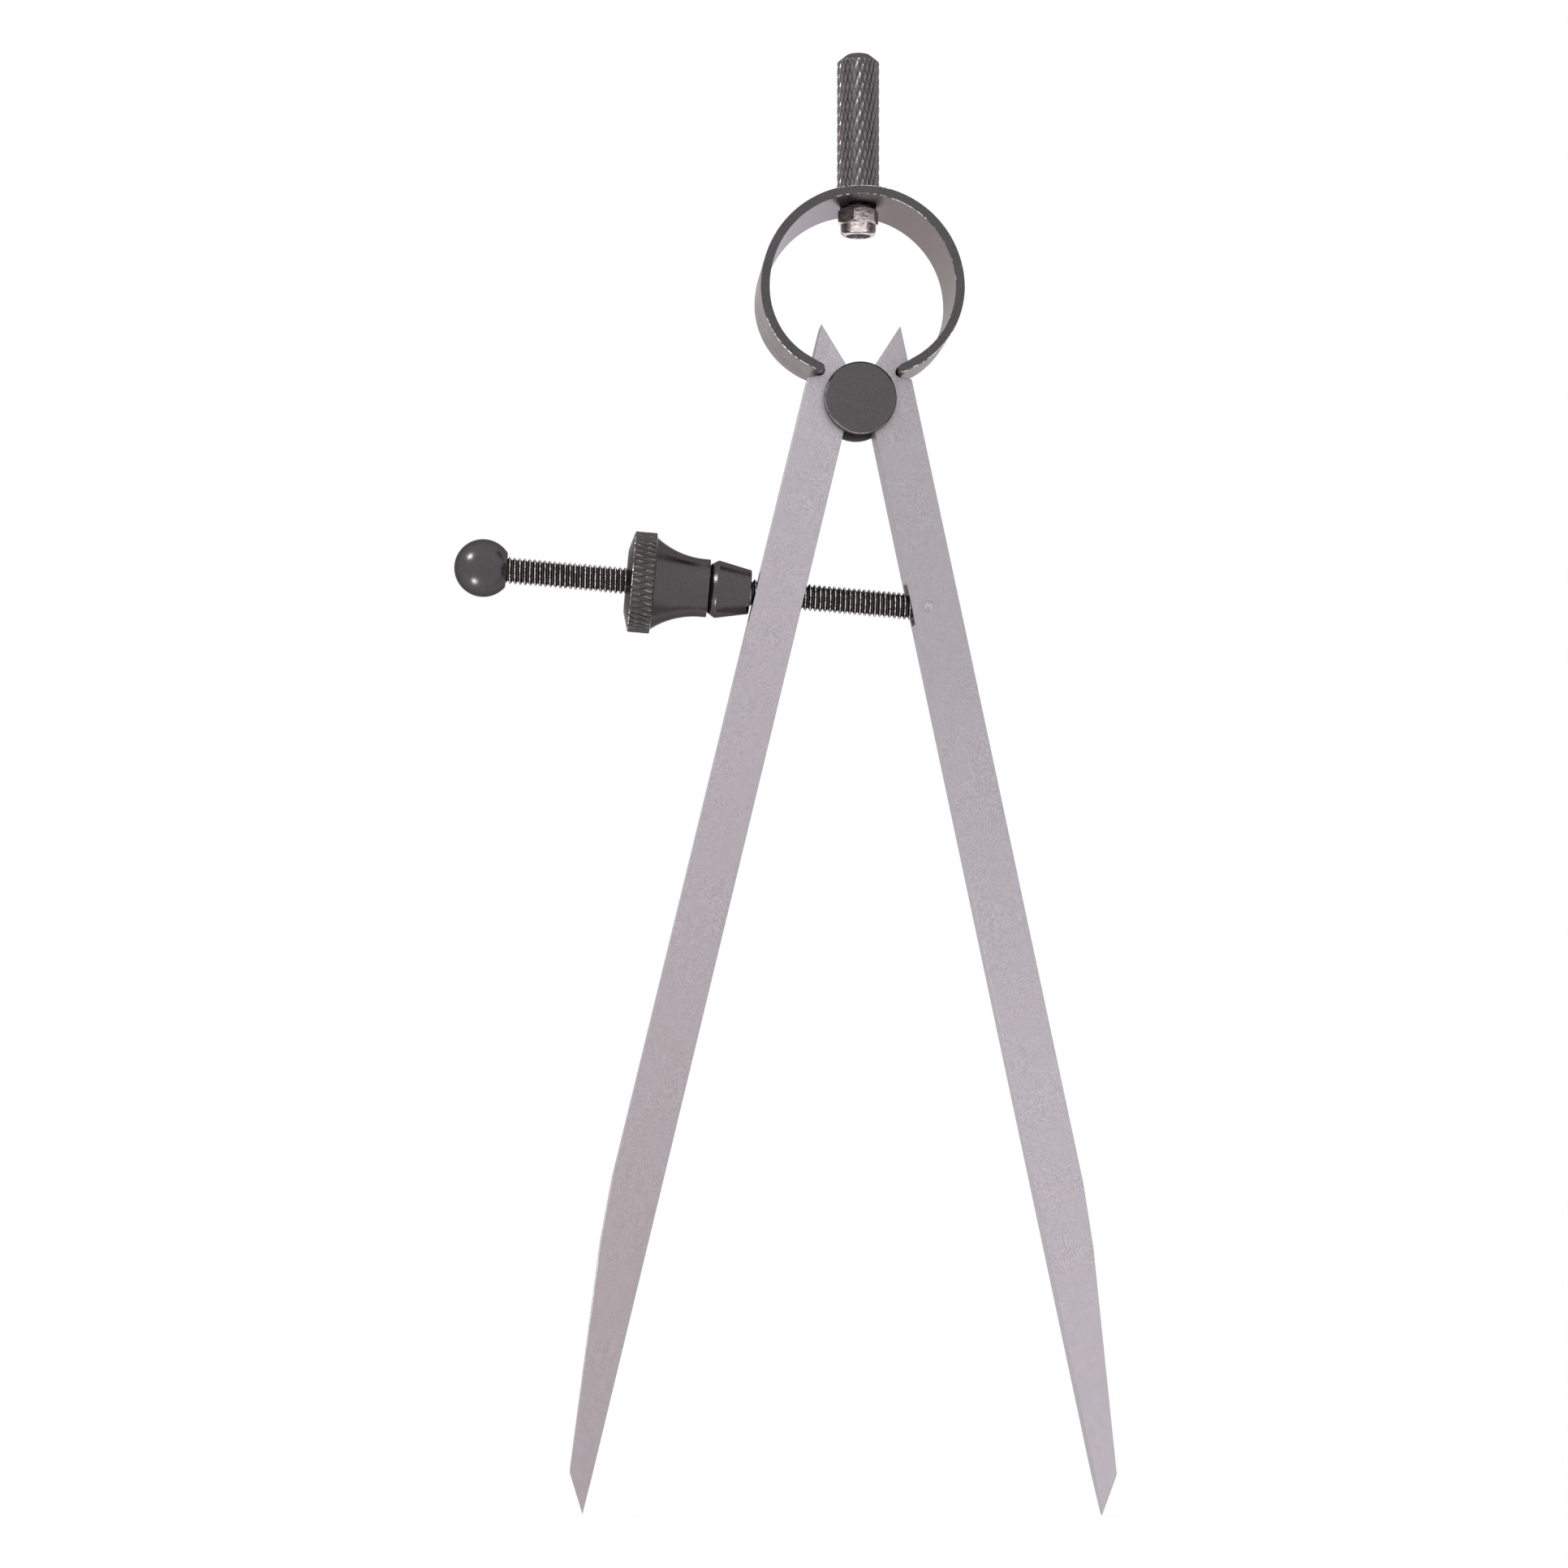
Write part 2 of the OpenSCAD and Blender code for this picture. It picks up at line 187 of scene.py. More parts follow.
def add_piece(name, bm, place, materials, sharp):
    """Puts a mesh drawn in millimetres in its place, shaded smooth up to an angle in degrees."""
    bmesh.ops.remove_doubles(bm, verts=bm.verts, dist=WELD_MM)
    for v in bm.verts:
        v.co = place(*v.co)
    bmesh.ops.recalc_face_normals(bm, faces=bm.faces)
    return add_object(name, bm, materials, sharp)


def add_object(name, bm, materials, sharp):
    """Makes an object of a mesh in metres."""
    mesh = bpy.data.meshes.new(name)
    bm.to_mesh(mesh)
    bm.free()
    for material in materials:
        mesh.materials.append(material)
    for face in mesh.polygons:
        face.use_smooth = True
    mesh.set_sharp_from_angle(angle=math.radians(sharp))
    obj = bpy.data.objects.new(name, mesh)
    bpy.context.scene.collection.objects.link(obj)
    even = obj.modifiers.new("even_shading", "WEIGHTED_NORMAL")
    even.keep_sharp = True
    return obj


def declare(obj, node, body):
    """Hides the CAD node that a piece stands in for, and hangs the piece on the body it rides on,
    if one is given.
    """
    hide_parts(node)
    if body:
        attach(obj, body)


def polar(radius, angle, z):
    return (radius * math.cos(angle), radius * math.sin(angle), z)


def join_rings(bm, a, b, kind):
    """Faces between two rings of vertices; either ring may be a single point."""
    count = max(len(a), len(b))
    for k in range(count if len(a) + len(b) > 2 else 0):
        n = (k + 1) % count
        corners = [a[k % len(a)], a[n % len(a)], b[n % len(b)], b[k % len(b)]]
        bm.faces.new(list(dict.fromkeys(corners))).material_index = kind


def draw_rings(bm, ring, angles, profile):
    """Carries a ring of vertices on through a profile of (radius, height, kind) points.

    Each point's kind is that of the faces which lead to it. Returns the last ring.
    """
    for radius, z, kind in profile:
        if radius < AXIS_MM:
            fresh = [bm.verts.new((0, 0, z))]
        else:
            fresh = [bm.verts.new(polar(radius, a, z)) for a in angles]
        if ring:
            join_rings(bm, ring, fresh, kind)
        ring = fresh
    return ring


def turned(profile, around):
    """A mesh turned from a profile of (radius, height, kind) points."""
    bm = bmesh.new()
    draw_rings(bm, None, [TURN * k / around for k in range(around)], profile)
    return bm


def rounded(corners):
    """A profile from (radius, height, rounding, kind) corners, each rounded off.

    The kind is that of the stretch leading to the corner. A rounding given as a negative size is
    worn.
    """
    out = []
    for i, (r, z, size, kind) in enumerate(corners):
        p = Vector((r, z))
        if not size or i in (0, len(corners) - 1):
            out.append((r, z, kind))
            continue
        before = Vector(corners[i - 1][:2]) - p
        after = Vector(corners[i + 1][:2]) - p
        reach = min(abs(size), before.length * ROUND_MOST, after.length * ROUND_MOST)
        a, b = p + before.normalized() * reach, p + after.normalized() * reach
        for k in range(ROUND_STEPS + 1):
            t = k / ROUND_STEPS
            q = a * (1 - t) ** 2 + p * 2 * t * (1 - t) + b * t * t
            out.append((q.x, q.y, WORN if size < 0 and k else kind))
    return out


def flipped(profile):
    """The mirror image of a profile, from its end to its start, with each stretch's kind kept."""
    kinds = [kind for _, _, kind in profile]
    return [(r, -z, kind) for (r, z, _), kind in zip(profile[::-1], kinds[-1:] + kinds[:0:-1])]


def plane_cut(bm, place, along, beyond=False, before=False, tolerance=CUT_MM):
    """Cuts a mesh by a plane, and clears what lies beyond or before it. Returns the cut's edges."""
    cut = bmesh.ops.bisect_plane(
        bm, geom=bm.verts[:] + bm.edges[:] + bm.faces[:], dist=tolerance,
        plane_co=place, plane_no=along, clear_outer=beyond, clear_inner=before)
    return [e for e in cut["geom_cut"] if isinstance(e, bmesh.types.BMEdge)]


def knurled(radius, depth, starts, height, low, high, tiers, shift=0.0, limit=None):
    """A band of diamonds, whose tops are drawn out along one set of grooves, cut off square at two
    heights.

    Each diamond rises in tiers: the shares of it that a tier takes up along the right-hand and the
    left-hand grooves, how far up it stands, and the kind of the faces that lead to it. shift moves
    the diamonds up, by halves of their height, from where they lie evenly about the middle.
    limit is a height and a rate at which the radius falls above it, where the band runs out.

    Returns the mesh and, for its low and its high end, the cut's ring and the angles of its points.
    """
    bm = bmesh.new()
    middle = (low + high) / 2
    rows = math.ceil((high - low) / height) + 1
    grooves = {}

    def point(m, n, r):
        return polar(r, TURN * m / starts / 2, middle + (n + shift) * height / 2)

    def groove(m, n):
        key = (m % (2 * starts), n)
        if key not in grooves:
            grooves[key] = bm.verts.new(point(m, n, radius - depth))
        return grooves[key]

    corners = ((-1, 0), (0, -1), (1, 0), (0, 1))
    for n in range(-rows, rows + 1):
        for m in range((n + 1) % 2, 2 * starts, 2):
            ring = [groove(m + a, n + b) for a, b in corners]
            for along, across, up, kind in tiers:
                r = radius - depth * (1 - up)
                skewed = [((a + b) * along / 2, (b - a) * across / 2) for a, b in corners]
                fresh = [bm.verts.new(point(m + u - v, n + u + v, r)) for u, v in skewed]
                join_rings(bm, ring, fresh, kind)
                ring = fresh
            bm.faces.new(ring).material_index = TOP
    plane_cut(bm, (0, 0, low), UP, before=True)
    plane_cut(bm, (0, 0, high), UP, beyond=True)
    if limit:
        start, rate = limit
        plane_cut(bm, (0, 0, start), UP)
        for v in bm.verts:
            most = radius - max(0, v.co.z - start) * rate
            v.co.xy *= min(1, most / v.co.xy.length)
    ends = []
    for z in (low, high):
        ring = [(math.atan2(v.co.y, v.co.x), v) for v in bm.verts if abs(v.co.z - z) < ON_CUT_MM]
        ring.sort(key=lambda pair: pair[0])
        ends.append(([v for _, v in ring], [angle for angle, _ in ring]))
    return bm, ends[0], ends[1]


def from_cad(name, node, materials, ease, keep=None, leave=None):
    """A copy of a CAD node with its edges eased by a bevel, which has the last material.

    keep is a point and a direction beyond which the copy is cut off. leave tells which points
    have edges that stay sharp.
    """
    bm = bmesh.new()
    bm.from_mesh(nodes[node].data)
    bmesh.ops.remove_doubles(bm, verts=bm.verts, dist=WELD_M)
    bmesh.ops.dissolve_limit(bm, angle_limit=CAD_FLAT, verts=bm.verts, edges=bm.edges)
    if keep:
        bmesh.ops.edgeloop_fill(bm, edges=plane_cut(bm, *keep, beyond=True, tolerance=CUT_M))
    for face in bm.faces:
        face.material_index = PLAIN
    edges = [e for e in bm.edges if e.is_manifold and e.calc_face_angle(0) > CAD_EASED
             and not (leave and all(leave(v.co) for v in e.verts))]
    bmesh.ops.bevel(bm, geom=edges, offset=ease * MM, segments=CAD_STEPS, profile=0.5,
                    affect="EDGES", clamp_overlap=True, material=len(materials) - 1)
    return add_object(name, bm, materials, CAD_SHARP)


# Materials

BUMP_STRENGTH = 0.35

# detail and roughness of noises
SPECKLE = (3, 0.7)
CLOUDS = (3, 0.55)
WEAR = (3, 0.6)
MOTTLE = (4, 0.6)

# places on a ramp: the whole of it, its middle, and a narrow part for fine noise
WHOLE = (0, 1)
MIDDLE = (0.3, 0.7)
NARROW = (0.38, 0.62)

CLOUD_ROUGH = 0.04      # how far a satin steel's roughness goes up and down with its clouds
WEAR_SOFT = 0.05        # how far a worn patch's border is spread out


def new_material(name):
    """A material with one shader. Returns the material, its node tree and the shader's inputs."""
    material = bpy.data.materials.new(name)
    material.use_nodes = True
    tree = material.node_tree
    tree.nodes.clear()
    out = tree.nodes.new("ShaderNodeOutputMaterial")
    shader = tree.nodes.new("ShaderNodeBsdfPrincipled")
    tree.links.new(shader.outputs["BSDF"], out.inputs["Surface"])
    return material, tree, shader.inputs


def new_metal(name, edge, metal=1.0):
    """A new material, of metal or mostly so, with a colour at grazing angles."""
    material, tree, inputs = new_material(name)
    inputs["Metallic"].default_value = metal
    inputs["Specular Tint"].default_value = (*edge, 1)
    return material, tree, inputs


def object_noise(tree, scale, detail, rough, length=1.0, turn=0.0):
    """Noise in the object's own coordinates, with scale in features per millimetre. Features may
    be drawn out to a length along Z, and turned about Y."""
    coords = tree.nodes.new("ShaderNodeTexCoord")
    mapping = tree.nodes.new("ShaderNodeMapping")
    mapping.vector_type = "TEXTURE"
    mapping.inputs["Scale"].default_value = (1, 1, length)
    mapping.inputs["Rotation"].default_value = (0, turn, 0)
    noise = tree.nodes.new("ShaderNodeTexNoise")
    noise.inputs["Scale"].default_value = scale / MM
    noise.inputs["Detail"].default_value = detail
    noise.inputs["Roughness"].default_value = rough
    tree.links.new(coords.outputs["Object"], mapping.inputs["Vector"])
    tree.links.new(mapping.outputs["Vector"], noise.inputs["Vector"])
    return noise.outputs["Fac"]


def object_span(tree, axis, start, end):
    """How far a point lies from one place to another on an axis of the object, from 0 to 1."""
    coords = tree.nodes.new("ShaderNodeTexCoord")
    split = tree.nodes.new("ShaderNodeSeparateXYZ")
    tree.links.new(coords.outputs["Object"], split.inputs[0])
    span = tree.nodes.new("ShaderNodeMapRange")
    span.inputs["From Min"].default_value = start
    span.inputs["From Max"].default_value = end
    tree.links.new(split.outputs[axis], span.inputs["Value"])
    return span.outputs["Result"]


def ramp(tree, value, low, high, places=MIDDLE):
    """A value run from one colour to another between two places."""
    node = tree.nodes.new("ShaderNodeValToRGB")
    for element, place, colour in zip(node.color_ramp.elements, places, (low, high)):
        element.position = place
        element.color = (*colour, 1)
    tree.links.new(value, node.inputs["Fac"])
    return node.outputs["Color"]


def grey_ramp(tree, value, middle, spread, places=MIDDLE):
    """A value run from a grey below a middle one to a grey as far above it."""
    return ramp(tree, value, (middle - spread,) * 3, (middle + spread,) * 3, places)


def multiplied(tree, a, b, share=None):
    """One colour times another, or less of the other where a share from 0 to 1 is given."""
    node = tree.nodes.new("ShaderNodeMix")
    node.data_type = "RGBA"
    node.blend_type = "MULTIPLY"
    node.inputs["Factor"].default_value = 1
    if share:
        tree.links.new(share, node.inputs["Factor"])
    tree.links.new(a, node.inputs[6])
    tree.links.new(b, node.inputs[7])
    return node.outputs[2]


def tone(colour, share):
    return tuple(c * share for c in colour)


def add_bump(tree, inputs, height, depth):
    bump = tree.nodes.new("ShaderNodeBump")
    bump.inputs["Strength"].default_value = BUMP_STRENGTH
    bump.inputs["Distance"].default_value = depth * MM
    tree.links.new(height, bump.inputs["Height"])
    tree.links.new(bump.outputs["Normal"], inputs["Normal"])


def steel(name, colour, edge, rough, spread=0.1, fine=4.0, cloud=0.35, length=1.0, depth=0.01,
          metal=1.0):
    """Satin steel: a fine speckle, drawn out to a length, over soft clouds, with a slight bump."""
    material, tree, inputs = new_metal(name, edge, metal)
    speckle = object_noise(tree, fine, *SPECKLE, length)
    clouds = object_noise(tree, cloud, *CLOUDS)
    base = ramp(tree, speckle, tone(colour, 1 - spread), tone(colour, 1 + spread), NARROW)
    base = multiplied(tree, base, grey_ramp(tree, clouds, 1, spread / 2))
    tree.links.new(base, inputs["Base Color"])
    tree.links.new(grey_ramp(tree, clouds, rough, CLOUD_ROUGH), inputs["Roughness"])
    add_bump(tree, inputs, speckle, depth)
    return material


# noises of a leg: scale, detail, roughness and, where they are drawn out, length
LEG_PATCHES = (0.3, 3, 0.55)
LEG_GRAIN = (5.2, 3, 0.75, 1.6)
LEG_MOTTLE = (1.3, 2, 0.6, 1.5)
LEG_RUBBED = (0.18, 2, 0.5)

LEG_ROUGH = 0.44
PINK_PATCH = (1.004, 0.998, 0.99)
LILAC_PATCH = (0.994, 1.002, 1.02)
GRAIN_SPREAD = 0.155
GRAIN_DEPTH = 0.012
GRAIN_LEAST = (0.3,) * 3
GRAIN_MOST = (1, 1, 1)
RUBBED_AT = (0.36, 0.6)
MOTTLE_SPREAD = 0.035


def ground_steel(name, top, low, tone_at, turn, smooth, smooth_at):
    """A leg's ground steel: painted shading that changes its tone down the leg, tinted patches and
    a short grain.

    The grain comes and goes in patches, and only a share of it, smooth, is left at the point. The
    painted shading changes the tone, and the grain fades, between two shares of the way down the
    leg.
    """
    material, tree, inputs = new_metal(name, BARE_EDGE)
    inputs["Roughness"].default_value = LEG_ROUGH
    down = object_span(tree, "Z", at_fulcrum(0, 0, 0).z, cad_box[0].z)
    # painted shading: the tone runs from the top's colour to the point's colour down the leg
    base = ramp(tree, down, top, low, tone_at)
    patches = object_noise(tree, *LEG_PATCHES)
    base = multiplied(tree, base, ramp(tree, patches, PINK_PATCH, LILAC_PATCH))
    grain = object_noise(tree, *LEG_GRAIN, turn)
    rubbed = object_noise(tree, *LEG_RUBBED)
    strength = multiplied(tree, ramp(tree, rubbed, GRAIN_LEAST, GRAIN_MOST, RUBBED_AT),
                          ramp(tree, down, GRAIN_MOST, (smooth,) * 3, smooth_at))
    base = multiplied(tree, base, grey_ramp(tree, grain, 1, GRAIN_SPREAD, NARROW), strength)
    mottle = object_noise(tree, *LEG_MOTTLE, turn)
    base = multiplied(tree, base, grey_ramp(tree, mottle, 1, MOTTLE_SPREAD))
    tree.links.new(base, inputs["Base Color"])
    add_bump(tree, inputs, multiplied(tree, grain, strength), GRAIN_DEPTH)
    return material


# the bow's strip: its speckle and bump, and where its inside turns from the painted reflection on
# its left half to the painted shade on its right
STRIP_FINE = 3.5
STRIP_DEPTH = 0.06
INSIDE_SPREAD = 0.13
INSIDE_TURN = 4.0


def painted_sheen_steel(name, left, right, rough):
    """The inside of the bow, lighter on the left from a painted reflection and darker on the right
    from painted shade: base and edge colours that change from its left to its right half.
    """
    material, tree, inputs = new_material(name)
    inputs["Metallic"].default_value = 1
    inputs["Roughness"].default_value = rough
    across = object_span(tree, "X", -INSIDE_TURN * MM, INSIDE_TURN * MM)
    speckle = object_noise(tree, STRIP_FINE, *SPECKLE)
    base = multiplied(tree, ramp(tree, across, left[0], right[0], WHOLE),
                      grey_ramp(tree, speckle, 1, INSIDE_SPREAD, NARROW))
    tree.links.new(base, inputs["Base Color"])
    tree.links.new(ramp(tree, across, left[1], right[1], WHOLE), inputs["Specular Tint"])
    add_bump(tree, inputs, speckle, STRIP_DEPTH)
    return material


def worn_steel(name, dark, bright, edge, rough, share, fine, metal=1.0):
    """An edge worn bright in places; share moves how much of the dark finish is gone."""
    material, tree, inputs = new_metal(name, edge, metal)
    inputs["Roughness"].default_value = rough
    patches = object_noise(tree, fine, *WEAR)
    border = (share - WEAR_SOFT, share + WEAR_SOFT)
    tree.links.new(ramp(tree, patches, bright, dark, border), inputs["Base Color"])
    return material


def plastic(name, dark, pale, rough, scale):
    """Matt plastic, mottled between two tones."""
    material, tree, inputs = new_material(name)
    inputs["Roughness"].default_value = rough
    mottle = object_noise(tree, scale, *MOTTLE)
    tree.links.new(ramp(tree, mottle, dark, pale), inputs["Base Color"])
    return material


BLACK = (0.098, 0.090, 0.092)
BARE = (0.46, 0.43, 0.42)
BLACK_EDGE = (0.45, 0.43, 0.44)
BARE_EDGE = (0.8, 0.78, 0.79)
BOW_EDGE = (0.95, 0.88, 0.87)
PLATING = dict(spread=0.44, fine=1.2, cloud=0.6, length=0.5, depth=0.12, metal=0.84)

black_disc = steel("black_disc", (0.113, 0.104, 0.106), BLACK_EDGE, rough=0.42)
bow_black = steel("bow_black", (0.100, 0.0925, 0.095), BOW_EDGE, rough=0.32, spread=0.12,
                  fine=STRIP_FINE, depth=STRIP_DEPTH)
# painted reflection on the inside's left half, lighter and lilac, and painted shade on its right
# half
bow_inside_painted_sheen = painted_sheen_steel("bow_inside_painted_sheen", left=((0.205, 0.172, 0.196), (1.0, 0.94, 1.0)),
                          right=((0.178, 0.160, 0.158), (0.74, 0.69, 0.68)), rough=0.31)
black_grip = steel("black_grip", (0.175, 0.158, 0.166), BLACK_EDGE, rough=0.21)
# painted shade: the grip's grooves are darker than its flanks
grip_groove_painted_shade = steel("grip_groove_painted_shade", (0.105, 0.096, 0.099), BLACK_EDGE, rough=0.36)
black_rim = steel("black_rim", (0.094, 0.086, 0.085), BLACK_EDGE, rough=0.3)
# painted shade: the nut rim's grooves are darker than its flanks
rim_groove_painted_shade = steel("rim_groove_painted_shade", (0.080, 0.073, 0.072), BLACK_EDGE, rough=0.36)
black_cone = steel("black_cone", (0.130, 0.116, 0.128), BLACK_EDGE, rough=0.36)
black_turned = steel("black_turned", (0.091, 0.0855, 0.089), BLACK_EDGE, rough=0.25)
black_screw = steel("black_screw", (0.110, 0.099, 0.096), BLACK_EDGE, rough=0.32)
knurl_top = worn_steel("knurl_top", (0.12, 0.11, 0.112), (0.30, 0.275, 0.28), BLACK_EDGE,
                       rough=0.2, share=0.5, fine=2.4)
rim_top = worn_steel("rim_top", (0.13, 0.12, 0.118), (0.36, 0.33, 0.32), BLACK_EDGE,
                     rough=0.27, share=0.47, fine=0.8)
worn_edge = worn_steel("worn_edge", BLACK, BARE, BLACK_EDGE, rough=0.3, share=0.36, fine=1.4)
rubbed_edge = worn_steel("rubbed_edge", BLACK, (0.85, 0.82, 0.81), BARE_EDGE,
                         rough=0.3, share=0.5, fine=1.6)
# a painted highlight for the spool's rim at its lower left
disc_painted_highlight = worn_steel("disc_painted_highlight", (0.20, 0.185, 0.18), (0.52, 0.49, 0.475), BARE_EDGE,
                         rough=0.3, share=0.56, fine=1.1)
rubbed_rim = worn_steel("rubbed_rim", BLACK, (0.62, 0.58, 0.56), BARE_EDGE,
                        rough=0.3, share=0.52, fine=1.6)
worn_crest = worn_steel("worn_crest", (0.22, 0.20, 0.195), (0.84, 0.80, 0.79), BARE_EDGE,
                        rough=0.3, share=0.5, fine=3.2)
plated = steel("plated", (0.70, 0.64, 0.62), BARE_EDGE, rough=0.19, **PLATING)
# painted shade for the lock nut's flats turned to the right
plated_painted_shade = steel("plated_painted_shade", (0.30, 0.275, 0.27), BARE_EDGE, rough=0.24, **PLATING)
plated_edge = worn_steel("plated_edge", (0.42, 0.385, 0.37), (0.95, 0.90, 0.88), BARE_EDGE,
                         rough=0.28, share=0.52, fine=1.4, metal=0.4)
pin_steel = steel("pin_steel", (0.480, 0.454, 0.450), BARE_EDGE, rough=0.4, spread=0.2, fine=1.2)
leg_edge = steel("leg_edge", (0.44, 0.41, 0.42), BARE_EDGE, rough=0.36)
# painted shading: the left leg is lighter at the top, the right leg lighter towards its point
left_steel = ground_steel("left_steel", (0.518, 0.474, 0.514), (0.460, 0.405, 0.4256),
                          tone_at=(0, 0.75), turn=LEFT_ANGLE, smooth=0.3, smooth_at=(0.55, 1))
right_steel = ground_steel("right_steel", (0.455, 0.420, 0.445), (0.541, 0.492, 0.532),
                           tone_at=(0.2, 0.62), turn=-RIGHT_ANGLE, smooth=0.1,
                           smooth_at=(0.77, 0.87))
nylon = plastic("nylon", (0.2, 0.19, 0.18), (0.26, 0.25, 0.23), rough=0.6, scale=2.0)


# Bow spring

BOW_STEP = math.radians(2.5)
TONGUE_STEPS = 3
NOSE_STEPS = 4
NOSE_LEAST = 0.02

# corners of the strip's section, as signs across its thickness and width, and the angle in degrees
# at which each one's rounding starts
STRIP_CORNERS = ((1, -1, -90), (1, 1, 0), (-1, 1, 90), (-1, -1, 180))
OUTER_FRONT, INNER_BACK, INNER_FRONT = 0, 2, 3
STRIP_ROUND = 0.09
STRIP_ROUND_MOST = 0.6
STRIP_ROUND_STEPS = 3

# where the corners are rubbed: inside the crown from one X to another, on top beside the grip, and
# outside the ends from some way below the bow's middle
CROWN_RUBBED = (-4, 9)
TOP_RUBBED = 3.5
ENDS_RUBBED = 4


def bow_stations():
    """Stations down one half of the bow: middle point, outward direction and half thickness."""
    stations = []

    def arc(x, radius, start, end, first):
        steps = round(abs(end - start) / BOW_STEP)
        for k in range(first, steps + 1):
            a = start + (end - start) * k / steps
            c, s = math.cos(a), math.sin(a)
            stations.append((x + radius * c, BOW_UP + radius * s, c, s, BOW_T / 2))

    arc(0, BOW_MID_R, TURN / 4, 0, 0)
    arc(ARM_TUCK, ARM_R, 0, -ARM_BEND, 1)
    x, z, c, s = stations[-1][:4]
    half_t = TONGUE_T / 2
    for k in range(1, TONGUE_STEPS + 1):
        along = TONGUE_L * k / TONGUE_STEPS
        stations.append((x + s * along, z - c * along, c, s, half_t))
    for k in range(1, NOSE_STEPS + 1):
        a = TURN / 4 * k / NOSE_STEPS
        along = TONGUE_L + half_t * math.sin(a)
        half = max(half_t * math.cos(a), NOSE_LEAST)
        stations.append((x + s * along, z - c * along, c, s, half))
    return stations


def strip_width(z):
    """Half the strip's width at a height: even down to its sides, then narrowing."""
    return (BOW_W - (BOW_W - BOW_END_W) * max(0, BOW_UP - z) / ARM_DEEP) / 2


def edge_kind(corner, x, z):
    """The wear of a strip's corner: much in the places named above, less elsewhere."""
    rubbed = False
    if corner == INNER_FRONT:
        rubbed = z > BOW_UP and CROWN_RUBBED[0] < x < CROWN_RUBBED[1]
    elif corner == OUTER_FRONT:
        rubbed = abs(x) < TOP_RUBBED < z - BOW_UP or z < BOW_UP - ENDS_RUBBED
    return RUBBED_AND_HIGHLIGHT if rubbed else WORN


def bow_half(name, side):
    bm = bmesh.new()
    last = None
    for x, z, c, s, half_t in bow_stations():
        r = min(STRIP_ROUND, half_t * STRIP_ROUND_MOST)
        # painted shade: the tongue's inside, where it sits in the leg's notch, gets the darker
        # spool finish
        inner = INSIDE if half_t == BOW_T / 2 else TONGUE
        ring, kinds = [], []
        for corner, (su, sw, start) in enumerate(STRIP_CORNERS):
            for k in range(STRIP_ROUND_STEPS + 1):
                a = math.radians(start + 90 / STRIP_ROUND_STEPS * k)
                u = su * (half_t - r) + r * math.cos(a)
                y = sw * (strip_width(z + u * s) - r) + r * math.sin(a)
                ring.append(bm.verts.new((side * (x + u * c), y, z + u * s)))
            kinds += [edge_kind(corner, side * x, z)] * STRIP_ROUND_STEPS
            kinds.append(inner if corner == INNER_BACK else PLAIN)
        for k in range(len(ring) if last else 0):
            n = (k + 1) % len(ring)
            bm.faces.new((last[k], last[n], ring[n], ring[k])).material_index = kinds[k]
        if not last:
            bm.faces.new(ring)
        last = ring
    bm.faces.new(last)
    materials = (bow_black, worn_edge, rubbed_edge, bow_inside_painted_sheen, black_disc)
    obj = add_piece(name, bm, at_fulcrum, materials, sharp=40)
    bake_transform(obj)
    declare(obj, "bow_spring", None)


bow_half("bow_left_half", -1)
bow_half("bow_right_half", 1)


# Handle

GRIP_STARTS = 24
GRIP_DIAMOND = 2.57
GRIP_DEPTH = 0.18
GRIP_TIERS = ((0.90, 0.50, 0.35, GROOVE), (0.40, 0.08, 1.0, FLANK))
GRIP_TOP = CROWN + GRIP_L - GRIP_CONE
GRIP_TOP_ROUND = 0.15
CONE_RATE = (GRIP_R - GRIP_TOP_R) / GRIP_CONE
GRIP_RUN = GRIP_TOP + GRIP_DEPTH / CONE_RATE
TANG_CHAMFER = 0.15

grip, grip_low, grip_high = knurled(
    GRIP_R, GRIP_DEPTH, GRIP_STARTS, GRIP_DIAMOND, CROWN, GRIP_RUN, GRIP_TIERS,
    limit=(GRIP_TOP, CONE_RATE))
draw_rings(grip, *grip_low, [
    (TANG_R, CROWN, FLANK), (TANG_R, TANG_END + TANG_CHAMFER, FLANK),
    (TANG_R - TANG_CHAMFER, TANG_END, FLANK), (0, TANG_END, FLANK)])
draw_rings(grip, *grip_high, rounded([
    (GRIP_R - GRIP_DEPTH, GRIP_RUN, 0, TURNED),
    (GRIP_TOP_R, CROWN + GRIP_L, GRIP_TOP_ROUND, TURNED),
    (0, CROWN + GRIP_L, 0, TURNED)])[1:])
handle = add_piece("handle_grip", grip, at_fulcrum,
                   (black_grip, knurl_top, black_cone, grip_groove_painted_shade), sharp=20)
declare(handle, "handle", "bow")


# Seat washer, lock nut and its insert

SEAT_EASE = 0.08
NUT_EASE = 0.14
FLAT_AREA = 2.0
TO_THE_RIGHT = 0.5

seat = from_cad("seat_ring", "seat_washer", (black_disc,), SEAT_EASE)
declare(seat, "seat_washer", "bow")

lock_nut = from_cad("lock_nut_plated", "lock_nut", (plated, plated_painted_shade, plated_edge), NUT_EASE)
for face in lock_nut.data.polygons:
    # painted shade: the two flats turned to the right get a darker plating
    is_flat = face.material_index == PLAIN and face.area > FLAT_AREA * MM * MM
    if is_flat and face.normal.x > TO_THE_RIGHT:
        face.material_index = PAINTED_SHADE_FLAT
declare(lock_nut, "lock_nut", "bow")

insert_materials = nodes["locking_insert"].data.materials
insert_materials.clear()
insert_materials.append(nylon)


# Fulcrum spool

DISC_AROUND = 160
DISC_BACK_ROUND = 0.1
DISC_WORN_ROUND = -0.1
DISC_FACE_ROUND = 0.06
